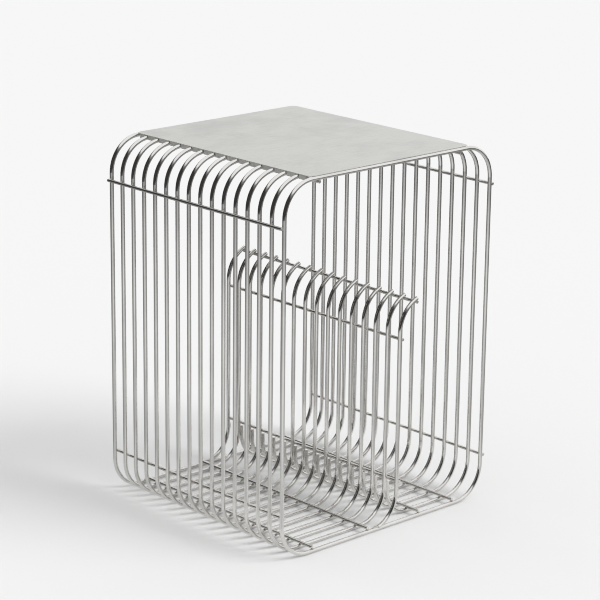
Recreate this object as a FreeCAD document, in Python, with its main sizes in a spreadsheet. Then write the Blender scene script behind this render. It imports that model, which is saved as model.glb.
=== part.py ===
import FreeCAD, Part
import os
import Sketcher
from FreeCAD import Placement, Rotation, Vector

# Wire rack: a row of bent wire rings, tied by thin rods, with a sheet on top.
# X is the ring width, Y runs from the open front (-Y) to the back, Z is up.
# The origin is the middle of the footprint, on the floor.

os.makedirs("parts", exist_ok=True)
doc = FreeCAD.newDocument("wire_rack")

# ---------------------------------------------------------------- sizes (mm)
SIZES = [
    ("wire_dia", 5.0),           # ring and divider wire
    ("rod_dia", 4.0),            # straight tie rods
    ("weld_gap", 0.05),          # play left at each welded crossing
    ("ring_width", 340.0),       # between the centre lines of the sides
    ("ring_height", 456.0),      # between the centre lines of bottom and top
    ("ring_pitch", 21.0),        # from one ring to the next
    ("ring_count", 16),
    ("bend_radius", 42.0),       # all ring corners, divider foot and hook
    ("divider_x", 20.0),         # divider wires, right of the middle
    ("hook_start", 243.0),       # bottom wire to the divider's bend
    ("hook_sweep", 70.0),        # degrees bent over at the top
    ("merge_sweep", 74.0),       # degrees of foot left on the end dividers
    ("foot_radius", 34.0),       # right branch of the divider foot
    ("foot_clear", 2.0),         # from that branch up to the low rod
    ("rod_overhang", 1.0),       # past the middle of the end wires
    ("side_rod_high", 9.0),      # upper side rods, below the top bends
    ("side_rod_low", 10.0),      # lower rods, above the bottom bends
    ("hook_rod_below", 8.5),     # below the start of the hook
    ("tip_rod_back", 2.5),       # degrees from the hook's tip to its rod
    ("edge_rod_in", 8.0),        # outer floor rods, in from the bends
    ("top_rod_in", 11.0),        # rods under the top, in from the bends
    ("floor_rod_left", 6.0),     # left of the divider's left bend
    ("floor_rod_right", 0.95),   # right of the divider's right branch
    ("sheet_thick", 1.0),
    ("sheet_out", 3.5),          # how far the sheet reaches over the bends
    ("sheet_corner", 8.0),
    ("lip_drop", 5.0),           # folded lip below the underside of the sheet
    ("slot_play", 0.4),          # slot in the lip, wider than the wire by
]

sheet = doc.addObject("Spreadsheet::Sheet", "Sizes")
for row, (name, value) in enumerate(SIZES, start=1):
    sheet.set("A%d" % row, name)
    sheet.set("B%d" % row, str(value))
    sheet.setAlias("B%d" % row, name)
doc.recompute()
RING_COUNT = int(sheet.ring_count)

# Shared expressions, all in the frame of the part.
FLOOR_WIRE = "Sizes.wire_dia / 2"
TOP_WIRE = "(Sizes.wire_dia / 2 + Sizes.ring_height)"
TOUCH = "(Sizes.wire_dia / 2 + Sizes.rod_dia / 2 + Sizes.weld_gap)"
HALF_DEPTH = "(Sizes.ring_pitch * (Sizes.ring_count - 1) / 2)"
FOOT_X = "(Sizes.divider_x + Sizes.wire_dia + Sizes.weld_gap)"
HOOK_Z = "(Sizes.wire_dia / 2 + Sizes.hook_start)"
LOW_Z = "(Sizes.wire_dia / 2 + Sizes.bend_radius + Sizes.side_rod_low)"
FOOT_Z = "(%s - Sizes.rod_dia / 2 - Sizes.foot_clear)" % LOW_Z

# A sketch lies in the XZ plane: its x is X and its y is Z.
UPRIGHT = Rotation(Vector(1, 0, 0), 90)
ALONG_Y = Rotation(Vector(1, 0, 0), -90)
START, END, CENTRE = 1, 2, 3


def bind_base(obj, x=None, y=None, z=None):
    """Ties the position of obj to expressions."""
    for axis, text in (("x", x), ("y", y), ("z", z)):
        if text is not None:
            obj.setExpression("Placement.Base." + axis, text)


class WirePath:
    """A chain of straight runs and tangent bends, drawn in one sketch."""

    def __init__(self, name):
        self.sketch = doc.addObject("Sketcher::SketchObject", name)
        self.sketch.Placement = Placement(Vector(), UPRIGHT)
        self.last = None

    def join(self, item, start_at):
        """Adds a piece and makes it tangent to the end of the chain."""
        if self.last is not None:
            geo, pos = self.last
            tie = Sketcher.Constraint("Tangent", geo, pos, item, start_at)
            self.sketch.addConstraint(tie)
        self.last = (item, START if start_at == END else END)
        return item

    def run(self, ax, az, bx, bz):
        """A straight run, level or upright, from (ax, az) to (bx, bz)."""
        line = Part.LineSegment(Vector(ax, az, 0), Vector(bx, bz, 0))
        item = self.join(self.sketch.addGeometry(line, False), START)
        way = "Vertical" if ax == bx else "Horizontal"
        self.sketch.addConstraint(Sketcher.Constraint(way, item))
        return item

    def bend(self, cx, cz, radius, from_deg, to_deg, size):
        """A bend about (cx, cz); size is the alias of its radius."""
        low, high = sorted((from_deg, to_deg))
        circle = Part.Circle(Vector(cx, cz, 0), Vector(0, 0, 1), radius)
        arc = Part.ArcOfCircle(circle, rad(low), rad(high))
        item = self.sketch.addGeometry(arc, False)
        self.join(item, START if from_deg < to_deg else END)
        tie = Sketcher.Constraint("Radius", item, radius)
        self.fix(tie, "Sizes." + size)
        return item

    def fix(self, tie, text):
        """Adds a size to the sketch and ties it to an expression."""
        index = self.sketch.addConstraint(tie)
        self.sketch.setExpression("Constraints[%d]" % index, text)

    def at_x(self, item, pos, value, text):
        self.fix(Sketcher.Constraint("DistanceX", -1, 1, item, pos, value), text)

    def at_z(self, item, pos, value, text):
        self.fix(Sketcher.Constraint("DistanceY", -1, 1, item, pos, value), text)

    def close(self):
        """Ties the end of the chain back to its first piece."""
        geo, pos = self.last
        self.sketch.addConstraint(Sketcher.Constraint("Tangent", geo, pos, 0, START))


def rad(degrees):
    return degrees * 3.141592653589793 / 180.0


def wire_profile(name, x, z):
    """A level circle that is swept along a path, at its upright start."""
    circle = doc.addObject("Part::Circle", name)
    circle.setExpression("Radius", "Sizes.wire_dia / 2")
    bind_base(circle, x=x, z=z)
    return circle


def swept(name, path, profile):
    wire = doc.addObject("Part::Sweep", name)
    wire.Sections = [profile]
    wire.Spine = (path.sketch, [])
    wire.Solid = True
    wire.Frenet = False
    return wire


# Starting values for the sketches; the expressions above take over from them.
half = sheet.ring_width / 2
low = sheet.wire_dia / 2
top = low + sheet.ring_height
bend = sheet.bend_radius
mid = sheet.divider_x
foot_x = mid + sheet.wire_dia + sheet.weld_gap
foot_r = sheet.foot_radius
foot_z = low + bend + sheet.side_rod_low - sheet.rod_dia / 2 - sheet.foot_clear
hook_z = low + sheet.hook_start

LEFT_SIDE = "-Sizes.ring_width / 2"
RIGHT_SIDE = "Sizes.ring_width / 2"

# ------------------------------------------- end rings: closed, front and back
loop = WirePath("end_ring_path")
left = loop.run(-half, low + bend, -half, top - bend)
loop.bend(-half + bend, top - bend, bend, 180, 90, "bend_radius")
over = loop.run(-half + bend, top, half - bend, top)
loop.bend(half - bend, top - bend, bend, 90, 0, "bend_radius")
right = loop.run(half, top - bend, half, low + bend)
loop.bend(half - bend, low + bend, bend, 0, -90, "bend_radius")
under = loop.run(half - bend, low, -half + bend, low)
loop.bend(-half + bend, low + bend, bend, 270, 180, "bend_radius")
loop.close()
loop.at_x(left, START, -half, LEFT_SIDE)
loop.at_x(right, START, half, RIGHT_SIDE)
loop.at_z(over, START, top, TOP_WIRE)
loop.at_z(under, START, low, FLOOR_WIRE)
loop_profile = wire_profile(
    "end_ring_profile", LEFT_SIDE, FLOOR_WIRE + " + Sizes.bend_radius")

# --------------- inner rings: one wire from the divider foot round to the hook
wire = WirePath("inner_ring_path")
foot = wire.run(foot_x, foot_z, foot_x, low + foot_r)
wire.bend(foot_x + foot_r, low + foot_r, foot_r, 180, 270, "foot_radius")
floor_right = wire.run(foot_x + foot_r, low, half - bend, low)
wire.bend(half - bend, low + bend, bend, -90, 0, "bend_radius")
right = wire.run(half, low + bend, half, top - bend)
wire.bend(half - bend, top - bend, bend, 0, 90, "bend_radius")
over = wire.run(half - bend, top, -half + bend, top)
wire.bend(-half + bend, top - bend, bend, 90, 180, "bend_radius")
left = wire.run(-half, top - bend, -half, low + bend)
wire.bend(-half + bend, low + bend, bend, 180, 270, "bend_radius")
floor_left = wire.run(-half + bend, low, mid - bend, low)
wire.bend(mid - bend, low + bend, bend, -90, 0, "bend_radius")
divider = wire.run(mid, low + bend, mid, hook_z)
hook = wire.bend(mid + bend, hook_z, bend, 180, 180 - sheet.hook_sweep, "bend_radius")
wire.at_x(foot, START, foot_x, FOOT_X)
wire.at_z(foot, START, foot_z, FOOT_Z)
wire.at_z(floor_right, START, low, FLOOR_WIRE)
wire.at_x(right, START, half, RIGHT_SIDE)
wire.at_z(over, START, top, TOP_WIRE)
wire.at_x(left, START, -half, LEFT_SIDE)
wire.at_z(floor_left, START, low, FLOOR_WIRE)
wire.at_x(divider, START, mid, "Sizes.divider_x")
wire.at_z(divider, END, hook_z, HOOK_Z)
HOOK_TIP = "Sizes.divider_x + Sizes.bend_radius * (1 - cos(Sizes.hook_sweep))"
wire.at_x(hook, START, mid + bend * 0.658, HOOK_TIP)
wire_circle = wire_profile("inner_ring_profile", FOOT_X, FOOT_Z)

# ------------- end dividers: upright, hook above, foot run into the end ring
post = WirePath("end_divider_path")
hook = post.bend(mid + bend, hook_z, bend, 180 - sheet.hook_sweep, 180, "bend_radius")
divider = post.run(mid, hook_z, mid, low + bend)
merge = post.bend(mid - bend, low + bend, bend, 0, -sheet.merge_sweep, "bend_radius")
post.at_x(hook, START, mid + bend * 0.658, HOOK_TIP)
post.at_x(divider, START, mid, "Sizes.divider_x")
post.at_z(divider, START, hook_z, HOOK_Z)
post.at_z(divider, END, low + bend, FLOOR_WIRE + " + Sizes.bend_radius")
MERGE_X = "Sizes.divider_x - Sizes.bend_radius * (1 - cos(Sizes.merge_sweep))"
post.at_x(merge, START, mid - bend * 0.724, MERGE_X)
post_circle = wire_profile(
    "end_divider_profile", "Sizes.divider_x", FLOOR_WIRE + " + Sizes.bend_radius")

# The end dividers are cut back where they lie against the ring's bottom wire.
bed = doc.addObject("Part::Cylinder", "bottom_wire_bed")
bed.setExpression("Radius", "Sizes.wire_dia / 2 + Sizes.weld_gap")
bed.setExpression("Height", "Sizes.ring_width / 2")
bed.Placement = Placement(Vector(), Rotation(Vector(0, 1, 0), 90))
bind_base(bed, x="-Sizes.ring_width / 4", z=FLOOR_WIRE)

end_post = swept("end_divider_blank", post, post_circle)

# ------------------------------------------------------------ rings in a row
nodes = []
for index in range(RING_COUNT):
    at_y = "Sizes.ring_pitch * %d - %s" % (index, HALF_DEPTH)
    if index == 0:
        ring = swept("ring_front", loop, loop_profile)
    elif index == RING_COUNT - 1:
        ring = swept("ring_back", loop, loop_profile)
    else:
        ring = swept("ring_%02d" % (index + 1), wire, wire_circle)
    bind_base(ring, y=at_y)
    nodes.append(ring)

for name, sign in (("divider_wire_front", "-"), ("divider_wire_back", "")):
    cut = doc.addObject("Part::Cut", name)
    cut.Base = end_post
    cut.Tool = bed
    bind_base(cut, y=sign + HALF_DEPTH)
    nodes.append(cut)

# ------------------------------------------------------------------ tie rods
TIP_TURN = "(180 - Sizes.hook_sweep + Sizes.tip_rod_back)"
TIP_REACH = "(Sizes.bend_radius - %s)" % TOUCH
TIP_X = "Sizes.divider_x + Sizes.bend_radius + %s * cos(%s)" % (TIP_REACH, TIP_TURN)
TIP_Z = "%s + %s * sin(%s)" % (HOOK_Z, TIP_REACH, TIP_TURN)
HIGH_Z = TOP_WIRE + " - Sizes.bend_radius - Sizes.side_rod_high"
FLOOR_Z = "%s + %s" % (FLOOR_WIRE, TOUCH)
UNDER_TOP_Z = "%s - %s" % (TOP_WIRE, TOUCH)
BESIDE_DIVIDER = "Sizes.divider_x + " + TOUCH
FLOOR_ROD_IN = "(Sizes.bend_radius + Sizes.edge_rod_in)"
TOP_ROD_IN = "(Sizes.bend_radius + Sizes.top_rod_in)"

RODS = [
    # name, x, z, whether it stands past the end wires
    ("upper_left_rod", "%s - %s" % (LEFT_SIDE, TOUCH), HIGH_Z, True),
    ("upper_right_rod", "%s + %s" % (RIGHT_SIDE, TOUCH), HIGH_Z, True),
    ("lower_left_rod", "%s + %s" % (LEFT_SIDE, TOUCH), LOW_Z, True),
    ("lower_right_rod", "%s + %s" % (RIGHT_SIDE, TOUCH), LOW_Z, True),
    ("top_rod_left", LEFT_SIDE + " + " + TOP_ROD_IN, UNDER_TOP_Z, True),
    ("top_rod_right", RIGHT_SIDE + " - " + TOP_ROD_IN, UNDER_TOP_Z, True),
    ("floor_rod_1", LEFT_SIDE + " + " + FLOOR_ROD_IN, FLOOR_Z, False),
    ("floor_rod_2", "Sizes.divider_x - Sizes.bend_radius - Sizes.floor_rod_left",
     FLOOR_Z, False),
    ("floor_rod_3", FOOT_X + " + Sizes.foot_radius + Sizes.floor_rod_right",
     FLOOR_Z, False),
    ("floor_rod_4", RIGHT_SIDE + " - " + FLOOR_ROD_IN, FLOOR_Z, False),
    ("divider_low_rod", BESIDE_DIVIDER, LOW_Z, True),
    ("divider_hook_rod", BESIDE_DIVIDER, HOOK_Z + " - Sizes.hook_rod_below", True),
    ("divider_tip_rod", TIP_X, TIP_Z, True),
]

for name, x, z, long_rod in RODS:
    past = " + Sizes.rod_overhang" if long_rod else ""
    reach = "(%s%s)" % (HALF_DEPTH, past)
    rod = doc.addObject("Part::Cylinder", name)
    rod.setExpression("Radius", "Sizes.rod_dia / 2")
    rod.setExpression("Height", "2 * " + reach)
    rod.Placement = Placement(Vector(), ALONG_Y)
    bind_base(rod, x=x, y="-" + reach, z=z)
    nodes.append(rod)

# ----------------------------------------------------------------- top sheet
SHEET_Z = TOP_WIRE + " + Sizes.wire_dia / 2 + Sizes.weld_gap"
SHEET_EDGE = "(Sizes.ring_width / 2 - Sizes.bend_radius + Sizes.sheet_out)"


def sheet_box(name, length, width, height, x, y, z):
    box = doc.addObject("Part::Box", name)
    box.setExpression("Length", length)
    box.setExpression("Width", width)
    box.setExpression("Height", height)
    bind_base(box, x=x, y=y, z=z)
    return box


# Flat plate with rounded corners: two crossed boxes and four corner discs.
plate_parts = [
    sheet_box(
        "plate_wide", "2 * " + SHEET_EDGE, "2 * (%s - Sizes.sheet_corner)" % HALF_DEPTH,
        "Sizes.sheet_thick", "-" + SHEET_EDGE, "-(%s - Sizes.sheet_corner)" % HALF_DEPTH,
        SHEET_Z),
    sheet_box(
        "plate_long", "2 * (%s - Sizes.sheet_corner)" % SHEET_EDGE, "2 * " + HALF_DEPTH,
        "Sizes.sheet_thick", "-(%s - Sizes.sheet_corner)" % SHEET_EDGE, "-" + HALF_DEPTH,
        SHEET_Z),
]
for x_sign in ("-", ""):
    for y_sign in ("-", ""):
        disc = doc.addObject("Part::Cylinder", "plate_corner")
        disc.setExpression("Radius", "Sizes.sheet_corner")
        disc.setExpression("Height", "Sizes.sheet_thick")
        bind_base(
            disc, x="%s(%s - Sizes.sheet_corner)" % (x_sign, SHEET_EDGE),
            y="%s(%s - Sizes.sheet_corner)" % (y_sign, HALF_DEPTH), z=SHEET_Z)
        plate_parts.append(disc)

# Lips folded down along the left and right edges.
LIP_HALF = "(%s - Sizes.sheet_corner)" % HALF_DEPTH
for name, x in (("lip_left", "-" + SHEET_EDGE),
                ("lip_right", SHEET_EDGE + " - Sizes.sheet_thick")):
    plate_parts.append(sheet_box(
        name, "Sizes.sheet_thick", "2 * " + LIP_HALF,
        "Sizes.lip_drop + Sizes.sheet_thick / 2", x, "-" + LIP_HALF,
        SHEET_Z + " - Sizes.lip_drop"))
plate = doc.addObject("Part::MultiFuse", "sheet_blank")
plate.Shapes = plate_parts
plate.Refine = True

# One slot across both lips for each wire.
slots = []
for index in range(RING_COUNT):
    at_y = "Sizes.ring_pitch * %d - %s - (Sizes.wire_dia + Sizes.slot_play) / 2"
    slots.append(sheet_box(
        "wire_slot", "2 * (%s + 1)" % SHEET_EDGE, "Sizes.wire_dia + Sizes.slot_play",
        "2 * Sizes.lip_drop", "-%s - 1" % SHEET_EDGE, at_y % (index, HALF_DEPTH),
        SHEET_Z + " - 2 * Sizes.lip_drop"))
slot_group = doc.addObject("Part::MultiFuse", "wire_slots")
slot_group.Shapes = slots
top_sheet = doc.addObject("Part::Cut", "top_sheet")
top_sheet.Base = plate
top_sheet.Tool = slot_group
nodes.append(top_sheet)

# -------------------------------------------------------------------- export
doc.recompute()
for obj in doc.Objects:
    if "Invalid" in obj.State or "Error" in obj.State:
        raise RuntimeError("%s did not compute: %s" % (obj.Name, obj.State))
for node in nodes:
    node.Label = node.Name
    shape = node.Shape
    if shape.isNull() or not shape.isValid() or len(shape.Solids) != 1:
        raise RuntimeError("%s is not one valid solid" % node.Label)
    shape.exportStep("parts/%s.step" % node.Label)
    box = shape.BoundBox
    print("%-20s %9.2f..%8.2f %9.2f..%8.2f %9.2f..%8.2f  %10.1f mm3" % (
        node.Label, box.XMin, box.XMax, box.YMin, box.YMax, box.ZMin, box.ZMax,
        shape.Volume))
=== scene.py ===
import math

import bmesh
import bpy
from mathutils import Matrix, Vector


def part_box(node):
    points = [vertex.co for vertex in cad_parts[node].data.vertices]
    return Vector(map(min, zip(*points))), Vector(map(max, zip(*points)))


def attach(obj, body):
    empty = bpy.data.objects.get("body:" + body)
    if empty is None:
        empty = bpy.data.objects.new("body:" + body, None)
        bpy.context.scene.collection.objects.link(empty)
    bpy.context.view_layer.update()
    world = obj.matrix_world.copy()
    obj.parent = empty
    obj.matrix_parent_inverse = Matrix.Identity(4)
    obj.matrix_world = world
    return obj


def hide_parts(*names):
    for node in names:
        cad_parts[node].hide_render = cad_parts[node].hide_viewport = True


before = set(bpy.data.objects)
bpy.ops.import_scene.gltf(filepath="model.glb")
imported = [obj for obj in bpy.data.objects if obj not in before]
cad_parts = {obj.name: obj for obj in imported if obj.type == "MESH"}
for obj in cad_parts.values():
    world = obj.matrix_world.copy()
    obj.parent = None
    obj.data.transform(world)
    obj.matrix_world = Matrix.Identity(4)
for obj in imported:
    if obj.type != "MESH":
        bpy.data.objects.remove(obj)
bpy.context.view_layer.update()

# ---------------------------------------------------------------- camera
# Stands in front of the open end and to the left, looking down on the rack.
# It is a long lens without shift or blur.
CAMERA_PLACE = (-1.8619, -2.0133, 1.0509)
CAMERA_TURN, CAMERA_DOWN, CAMERA_ROLL = -42.78, 16.15, 0.65
camera_data = bpy.data.cameras.new("camera")
camera_data.sensor_width = 36.0
camera_data.lens = 137.57
camera_data.clip_end = 60.0
camera = bpy.data.objects.new("camera", camera_data)
turn = Matrix.Rotation(math.radians(CAMERA_TURN), 4, "Z")
tilt = Matrix.Rotation(math.radians(90.0 - CAMERA_DOWN), 4, "X")
roll = Matrix.Rotation(math.radians(CAMERA_ROLL), 4, "Z")
camera.matrix_world = Matrix.Translation(CAMERA_PLACE) @ turn @ tilt @ roll
bpy.context.scene.collection.objects.link(camera)
bpy.context.scene.camera = camera
bpy.context.scene.view_settings.view_transform = "Standard"
bpy.context.scene.cycles.filter_width = 1.1

# ---------------------------------------------------------------- studio floor
# A wide pale floor. Polished metal would mirror it as plain white, so what the
# metal mirrors is a second floor of white paper that darkens further out, and
# that nothing but reflections sees.
FLOOR_RADIUS = 16.0
FLOOR_WHITE = 0.88
TONE_SPAN = 4.0  # metres of floor that a tone ramp covers


def stage_disc(name, height):
    """A flat round sheet of the studio floor."""
    mesh = bpy.data.meshes.new(name)
    bm = bmesh.new()
    bmesh.ops.create_circle(bm, cap_ends=True, segments=96, radius=FLOOR_RADIUS)
    bmesh.ops.translate(bm, verts=bm.verts, vec=(0.0, 0.0, height))
    bm.to_mesh(mesh)
    bm.free()
    obj = bpy.data.objects.new(name, mesh)
    bpy.context.scene.collection.objects.link(obj)
    return obj


def matt_paint(name):
    """Paint with no gloss at all, and its shader."""
    paint = bpy.data.materials.new(name)
    paint.use_nodes = True
    shader = paint.node_tree.nodes["Principled BSDF"]
    shader.inputs["Roughness"].default_value = 1.0
    shader.inputs["Specular IOR Level"].default_value = 0.0
    return paint, shader


floor = stage_disc("floor", -0.0004)
floor_paint, floor_shader = matt_paint("pale_floor")
floor_shader.inputs["Base Color"].default_value = (FLOOR_WHITE, FLOOR_WHITE, FLOOR_WHITE, 1.0)
floor.data.materials.append(floor_paint)
floor.visible_glossy = False

paper = stage_disc("mirrored_paper", -0.0002)
paper.visible_camera = False
paper.visible_diffuse = False
paper.visible_shadow = False
paper_paint, paper_shader = matt_paint("mirrored_paper")
nodes = paper_paint.node_tree.nodes
links = paper_paint.node_tree.links
place = nodes.new("ShaderNodeTexCoord")


def tone_rings(centre, tones):
    """Grey tones by distance, in metres, from a point on the floor."""
    away = nodes.new("ShaderNodeVectorMath")
    away.operation = "DISTANCE"
    away.inputs[1].default_value = centre
    links.new(place.outputs["Object"], away.inputs[0])
    reach = nodes.new("ShaderNodeMath")
    reach.operation = "MULTIPLY"
    reach.inputs[1].default_value = 1.0 / TONE_SPAN
    links.new(away.outputs["Value"], reach.inputs[0])
    fade = nodes.new("ShaderNodeValToRGB")
    ramp = fade.color_ramp.elements
    while len(ramp) < len(tones):
        ramp.new(0.5)
    for stop, (distance, tone) in zip(ramp, tones):
        stop.position = distance / TONE_SPAN
        stop.color = (tone, tone, tone, 1.0)
    links.new(reach.outputs["Value"], fade.inputs["Fac"])
    return fade


wide = tone_rings((-0.60, -0.80, 0.0), (
    (0.3, 0.80), (0.6, 0.58), (0.9, 0.44), (1.3, 0.30), (1.8, 0.18), (2.4, 0.09), (3.5, 0.04)))
close = tone_rings((0.0, 0.0, 0.0), ((0.28, 0.80), (0.55, 0.0)))
lighter = nodes.new("ShaderNodeMix")
lighter.data_type = "RGBA"
lighter.blend_type = "LIGHTEN"
lighter.inputs["Factor"].default_value = 1.0
links.new(wide.outputs["Color"], lighter.inputs["A"])
links.new(close.outputs["Color"], lighter.inputs["B"])
links.new(lighter.outputs["Result"], paper_shader.inputs["Base Color"])
paper.data.materials.append(paper_paint)

# ---------------------------------------------------------------- studio room
# Even pale light all round. In the metal's mirror image the room is bright
# overhead and to the right of the rack, and dark elsewhere.
WHITE = (1.0, 1.0, 1.0, 1.0)
BRIGHT_SIDE = (0.70, -0.15, 1.0)
room = bpy.data.worlds.new("studio_room")
bpy.context.scene.world = room
room.use_nodes = True
nodes = room.node_tree.nodes
links = room.node_tree.links
even_light = nodes["Background"]
even_light.inputs["Color"].default_value = WHITE
even_light.inputs["Strength"].default_value = 0.72
seen = nodes.new("ShaderNodeBackground")
seen.inputs["Color"].default_value = WHITE
seen.inputs["Strength"].default_value = 0.90
mirrored = nodes.new("ShaderNodeBackground")
mirrored.inputs["Strength"].default_value = 1.0
towards = nodes.new("ShaderNodeTexCoord")
lift = nodes.new("ShaderNodeVectorMath")
lift.operation = "DOT_PRODUCT"
lift.inputs[1].default_value = BRIGHT_SIDE
links.new(towards.outputs["Generated"], lift.inputs[0])
glow = nodes.new("ShaderNodeValToRGB")
glow.color_ramp.elements[0].position = 0.34
glow.color_ramp.elements[0].color = (0.045, 0.042, 0.04, 1.0)
glow.color_ramp.elements[1].position = 0.61
glow.color_ramp.elements[1].color = WHITE
dusk = glow.color_ramp.elements.new(0.49)
dusk.color = (0.28, 0.28, 0.28, 1.0)
links.new(lift.outputs["Value"], glow.inputs["Fac"])
links.new(glow.outputs["Color"], mirrored.inputs["Color"])
ray = nodes.new("ShaderNodeLightPath")
if_glossy = nodes.new("ShaderNodeMixShader")
links.new(ray.outputs["Is Glossy Ray"], if_glossy.inputs["Fac"])
links.new(even_light.outputs["Background"], if_glossy.inputs[1])
links.new(mirrored.outputs["Background"], if_glossy.inputs[2])
if_camera = nodes.new("ShaderNodeMixShader")
links.new(ray.outputs["Is Camera Ray"], if_camera.inputs["Fac"])
links.new(if_glossy.outputs["Shader"], if_camera.inputs[1])
links.new(seen.outputs["Background"], if_camera.inputs[2])
links.new(if_camera.outputs["Shader"], nodes["World Output"].inputs["Surface"])

# ---------------------------------------------------------------- key light
# One very wide soft light, high on the right of the camera. It is kept out of
# the metal's reflections, where it would burn out.
key_data = bpy.data.lights.new("key", "SUN")
key_data.energy = 1.54
key_data.angle = math.radians(32.0)
key = bpy.data.objects.new("key", key_data)
key_from = Vector((0.48, -0.86, 0.92))
key.matrix_world = key_from.to_track_quat("Z", "Y").to_matrix().to_4x4()
key.visible_glossy = False
bpy.context.scene.collection.objects.link(key)

# ---------------------------------------------------------------- ring wires
# Bright-drawn stainless wire, bent round into rings and up into the divider,
# then polished. Every ring is welded to the tie rods that cross it.


def drawn_steel(name, colour, shade, rough, mark_scale):
    """Polished steel: faint clouds in colour and gloss, and fine draw marks.

    The clouds run from shade to colour, and from rough to 1.8 times that.
    """
    steel = bpy.data.materials.new(name)
    steel.use_nodes = True
    nodes = steel.node_tree.nodes
    links = steel.node_tree.links
    shader = nodes["Principled BSDF"]
    shader.inputs["Metallic"].default_value = 1.0
    where = nodes.new("ShaderNodeTexCoord")
    clouds = nodes.new("ShaderNodeTexNoise")
    clouds.inputs["Scale"].default_value = 26.0
    clouds.inputs["Detail"].default_value = 4.0
    links.new(where.outputs["Object"], clouds.inputs["Vector"])
    gloss = nodes.new("ShaderNodeMapRange")
    gloss.inputs["From Min"].default_value = 0.35
    gloss.inputs["From Max"].default_value = 0.65
    gloss.inputs["To Min"].default_value = rough
    gloss.inputs["To Max"].default_value = rough * 1.8
    links.new(clouds.outputs["Fac"], gloss.inputs["Value"])
    links.new(gloss.outputs["Result"], shader.inputs["Roughness"])
    tint = nodes.new("ShaderNodeValToRGB")
    tint.color_ramp.elements[0].position = 0.30
    tint.color_ramp.elements[0].color = shade + (1.0,)
    tint.color_ramp.elements[1].position = 0.62
    tint.color_ramp.elements[1].color = colour + (1.0,)
    links.new(clouds.outputs["Fac"], tint.inputs["Fac"])
    links.new(tint.outputs["Color"], shader.inputs["Base Color"])
    marks = nodes.new("ShaderNodeTexNoise")
    marks.inputs["Scale"].default_value = mark_scale
    marks.inputs["Detail"].default_value = 3.0
    links.new(where.outputs["Object"], marks.inputs["Vector"])
    bump = nodes.new("ShaderNodeBump")
    bump.inputs["Strength"].default_value = 0.10
    bump.inputs["Distance"].default_value = 0.0002
    links.new(marks.outputs["Fac"], bump.inputs["Height"])
    links.new(bump.outputs["Normal"], shader.inputs["Normal"])
    return steel


wire_steel = drawn_steel("polished_wire", (0.80, 0.79, 0.77), (0.70, 0.69, 0.67), 0.04, 900.0)
rings = sorted(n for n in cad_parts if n.startswith("ring_"))
end_dividers = ["divider_wire_front", "divider_wire_back"]
for name in rings + end_dividers:
    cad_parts[name].material_slots[0].material = wire_steel

# ---------------------------------------------------------------- tie rods
# Straight, thinner rods of the same steel, welded across the rings: outside
# the sides (the lower left one is inside), under the top, on the floor of the
# rack and beside the divider.
rod_steel = drawn_steel("polished_rod", (0.74, 0.73, 0.71), (0.60, 0.59, 0.565), 0.06, 700.0)
rods = sorted(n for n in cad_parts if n.endswith("_rod") or "_rod_" in n)
for name in rods:
    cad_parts[name].material_slots[0].material = rod_steel

# ---------------------------------------------------------------- sawn ends
# The rods and the hooks of the divider are sawn off square, and their ends
# are ground to a small bevel. The cut faces are rougher, which is real, and
# their colour is lighter than the wire's as a painted highlight.
SAWN_DEPTH = 0.0003
END_FIT = 0.98  # of the radius of the rod or wire
WELD_PLAY = 0.00005
BEND = 0.042
HOOK_TURN = math.radians(110.0)
HOOK_ABOVE_ROD = 0.0085
rod_radius = 0.5 * (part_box("floor_rod_1")[1][0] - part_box("floor_rod_1")[0][0])
wire_radius = 0.5 * (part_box("ring_front")[1][1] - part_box("ring_front")[0][1])
ring_rows = [0.5 * (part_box(n)[0][1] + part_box(n)[1][1]) for n in rings]
divider_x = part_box("divider_low_rod")[0][0] - WELD_PLAY - wire_radius
hook_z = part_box("divider_hook_rod")[0][2] + rod_radius + HOOK_ABOVE_ROD
hook_tip = Vector((
    divider_x + BEND + BEND * math.cos(HOOK_TURN), 0.0, hook_z + BEND * math.sin(HOOK_TURN)))
hook_way = Vector((math.sin(HOOK_TURN), 0.0, -math.cos(HOOK_TURN)))


def sawn_face(bm, centre, out, radius):
    """A bevelled button on a cut end, its face towards out."""
    stand = out.to_track_quat("Z", "Y").to_matrix().to_4x4()
    bmesh.ops.create_cone(
        bm, cap_ends=True, segments=20, radius1=radius, radius2=radius - SAWN_DEPTH,
        depth=SAWN_DEPTH, matrix=Matrix.Translation(centre + out * SAWN_DEPTH / 2) @ stand)


bm = bmesh.new()
for name in rods:
    low, high = (Vector(c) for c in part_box(name))
    middle = (low + high) / 2
    for end, out in ((low.y, Vector((0, -1, 0))), (high.y, Vector((0, 1, 0)))):
        sawn_face(bm, Vector((middle.x, end, middle.z)), out, rod_radius * END_FIT)
for row in ring_rows:
    sawn_face(bm, hook_tip + Vector((0.0, row, 0.0)), hook_way, wire_radius * END_FIT)
sawn_mesh = bpy.data.meshes.new("sawn_ends")
bm.to_mesh(sawn_mesh)
bm.free()
sawn_ends = bpy.data.objects.new("sawn_ends", sawn_mesh)
bpy.context.scene.collection.objects.link(sawn_ends)
# The light colour of the cut faces is a painted highlight; their roughness is the real ground
# finish.
sawn_mesh.materials.append(
    drawn_steel("sawn_face", (0.90, 0.89, 0.87), (0.76, 0.75, 0.73), 0.22, 1600.0))
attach(sawn_ends, "root")

# ---------------------------------------------------------------- welds
# Each crossing of a rod and a wire is spot-welded, which leaves a small
# flattened nugget. The divider's feet have longer runs of weld.
NUGGET = (0.0010, 0.0019, 0.0019)
FOOT_RUN = (0.0010, 0.0017, 0.0050)
FOOT_RUN_BELOW_ROD = 0.0075
END_FOOT_RUN = (0.0019, 0.0020, 0.0075)
END_FOOT_X, END_FOOT_Z = -0.0125, 0.0046
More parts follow.
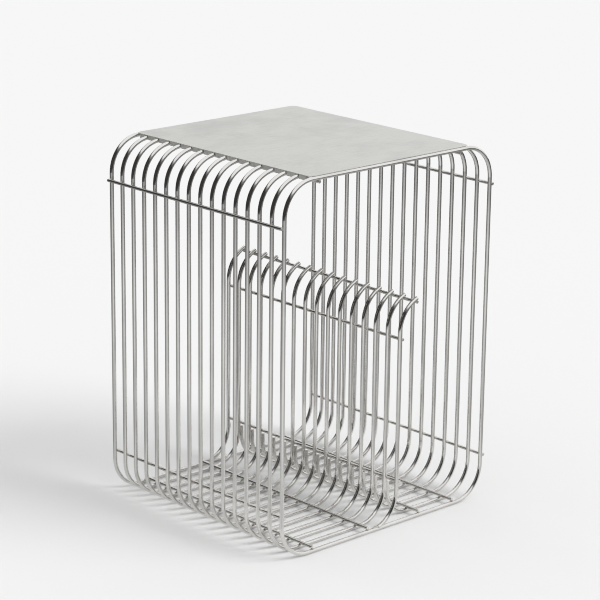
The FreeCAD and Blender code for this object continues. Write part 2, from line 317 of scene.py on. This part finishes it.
# The side of each rod that its wires are on, in degrees up from +X.
WIRE_SIDE = {
    "upper_left_rod": 0.0, "upper_right_rod": 180.0, "lower_left_rod": 180.0,
    "lower_right_rod": 180.0, "top_rod_left": 90.0, "top_rod_right": 90.0,
    "floor_rod_1": -90.0, "floor_rod_2": -90.0, "floor_rod_3": -90.0, "floor_rod_4": -90.0,
    "divider_low_rod": 180.0, "divider_hook_rod": 180.0, "divider_tip_rod": 112.5,
}


def nugget(bm, centre, angle, size):
    """A flattened bead at centre, thin along angle, in degrees up from +X."""
    face = Matrix.Rotation(math.radians(-angle), 4, "Y")
    bead = Matrix.Translation(centre) @ face @ Matrix.Diagonal(Vector(size + (1.0,)))
    bmesh.ops.create_uvsphere(bm, u_segments=8, v_segments=5, radius=1.0, matrix=bead)


bm = bmesh.new()
for name, angle in WIRE_SIDE.items():
    low, high = (Vector(c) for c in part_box(name))
    middle = (low + high) / 2
    way = Vector((math.cos(math.radians(angle)), 0.0, math.sin(math.radians(angle))))
    for row in ring_rows:
        nugget(bm, Vector((middle.x, row, middle.z)) + way * rod_radius, angle, NUGGET)
foot_x = divider_x + wire_radius
low_rod_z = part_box("divider_low_rod")[0][2]
# ring_rows is in the order of the names, so these runs are on ring_03 to
# ring_back. ring_02 has none, and the one on the back divider joins nothing.
for row in ring_rows[1:-1]:
    nugget(bm, Vector((foot_x, row, low_rod_z - FOOT_RUN_BELOW_ROD)), 0.0, FOOT_RUN)
for row in (min(ring_rows), max(ring_rows)):
    nugget(bm, Vector((END_FOOT_X, row, END_FOOT_Z)), 90.0, END_FOOT_RUN)
weld_mesh = bpy.data.meshes.new("welds")
bm.to_mesh(weld_mesh)
bm.free()
for face in weld_mesh.polygons:
    face.use_smooth = True
welds = bpy.data.objects.new("welds", weld_mesh)
bpy.context.scene.collection.objects.link(welds)
weld_mesh.materials.append(
    drawn_steel("weld_bead", (0.70, 0.68, 0.64), (0.46, 0.42, 0.37), 0.20, 1200.0))
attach(welds, "root")

# ---------------------------------------------------------------- top sheet
# Thin stainless sheet laid over the rings, its two sides folded down and
# slotted over the wires. Its edges are broken, and its dull tumbled finish is
# faintly clouded and scratched.
EDGE_BREAK = 0.00025
top_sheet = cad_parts["top_sheet"]
bm = bmesh.new()
bm.from_mesh(top_sheet.data)
bmesh.ops.transform(bm, matrix=top_sheet.matrix_world, verts=bm.verts)
bmesh.ops.remove_doubles(bm, verts=bm.verts, dist=0.00001)
bmesh.ops.dissolve_limit(
    bm, angle_limit=math.radians(1.0), use_dissolve_boundaries=False,
    verts=bm.verts, edges=bm.edges)
sharp = [e for e in bm.edges if e.is_manifold and e.calc_face_angle() > math.radians(60.0)]
bmesh.ops.bevel(
    bm, geom=sharp, offset=EDGE_BREAK, offset_type="OFFSET", affect="EDGES", segments=2,
    profile=0.5, material=-1, clamp_overlap=True)
sheet_mesh = bpy.data.meshes.new("top_plate")
bm.to_mesh(sheet_mesh)
bm.free()
plate = bpy.data.objects.new("top_plate", sheet_mesh)
bpy.context.scene.collection.objects.link(plate)
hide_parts("top_sheet")
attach(plate, "root")
sheet_steel = bpy.data.materials.new("tumbled_sheet")
sheet_steel.use_nodes = True
nodes = sheet_steel.node_tree.nodes
links = sheet_steel.node_tree.links
shader = nodes["Principled BSDF"]
shader.inputs["Metallic"].default_value = 0.65
where = nodes.new("ShaderNodeTexCoord")
clouds = nodes.new("ShaderNodeTexNoise")
clouds.inputs["Scale"].default_value = 13.0
clouds.inputs["Detail"].default_value = 9.0
clouds.inputs["Roughness"].default_value = 0.70
clouds.inputs["Distortion"].default_value = 0.25
links.new(where.outputs["Object"], clouds.inputs["Vector"])
tint = nodes.new("ShaderNodeValToRGB")
tint.color_ramp.elements[0].position = 0.36
tint.color_ramp.elements[0].color = (0.62, 0.62, 0.60, 1.0)
tint.color_ramp.elements[1].position = 0.56
tint.color_ramp.elements[1].color = (0.71, 0.71, 0.685, 1.0)
links.new(clouds.outputs["Fac"], tint.inputs["Fac"])
stretch = nodes.new("ShaderNodeMapping")
stretch.inputs["Rotation"].default_value = (0.0, 0.0, math.radians(-24.0))
stretch.inputs["Scale"].default_value = (1.0, 16.0, 1.0)
links.new(where.outputs["Object"], stretch.inputs["Vector"])
scratches = nodes.new("ShaderNodeTexNoise")
scratches.inputs["Scale"].default_value = 38.0
scratches.inputs["Detail"].default_value = 6.0
scratches.inputs["Roughness"].default_value = 0.75
links.new(stretch.outputs["Vector"], scratches.inputs["Vector"])
scratch_tone = nodes.new("ShaderNodeMapRange")
scratch_tone.inputs["From Min"].default_value = 0.30
scratch_tone.inputs["From Max"].default_value = 0.50
scratch_tone.inputs["To Min"].default_value = 0.86
scratch_tone.inputs["To Max"].default_value = 1.0
links.new(scratches.outputs["Fac"], scratch_tone.inputs["Value"])
marked = nodes.new("ShaderNodeMix")
marked.data_type = "RGBA"
marked.blend_type = "MULTIPLY"
marked.inputs["Factor"].default_value = 1.0
links.new(tint.outputs["Color"], marked.inputs["A"])
links.new(scratch_tone.outputs["Result"], marked.inputs["B"])
links.new(marked.outputs["Result"], shader.inputs["Base Color"])
gloss = nodes.new("ShaderNodeMapRange")
gloss.inputs["From Min"].default_value = 0.30
gloss.inputs["From Max"].default_value = 0.70
gloss.inputs["To Min"].default_value = 0.40
gloss.inputs["To Max"].default_value = 0.62
links.new(clouds.outputs["Fac"], gloss.inputs["Value"])
links.new(gloss.outputs["Result"], shader.inputs["Roughness"])
bump = nodes.new("ShaderNodeBump")
bump.inputs["Strength"].default_value = 0.10
bump.inputs["Distance"].default_value = 0.0003
links.new(scratches.outputs["Fac"], bump.inputs["Height"])
links.new(bump.outputs["Normal"], shader.inputs["Normal"])
sheet_mesh.materials.append(sheet_steel)
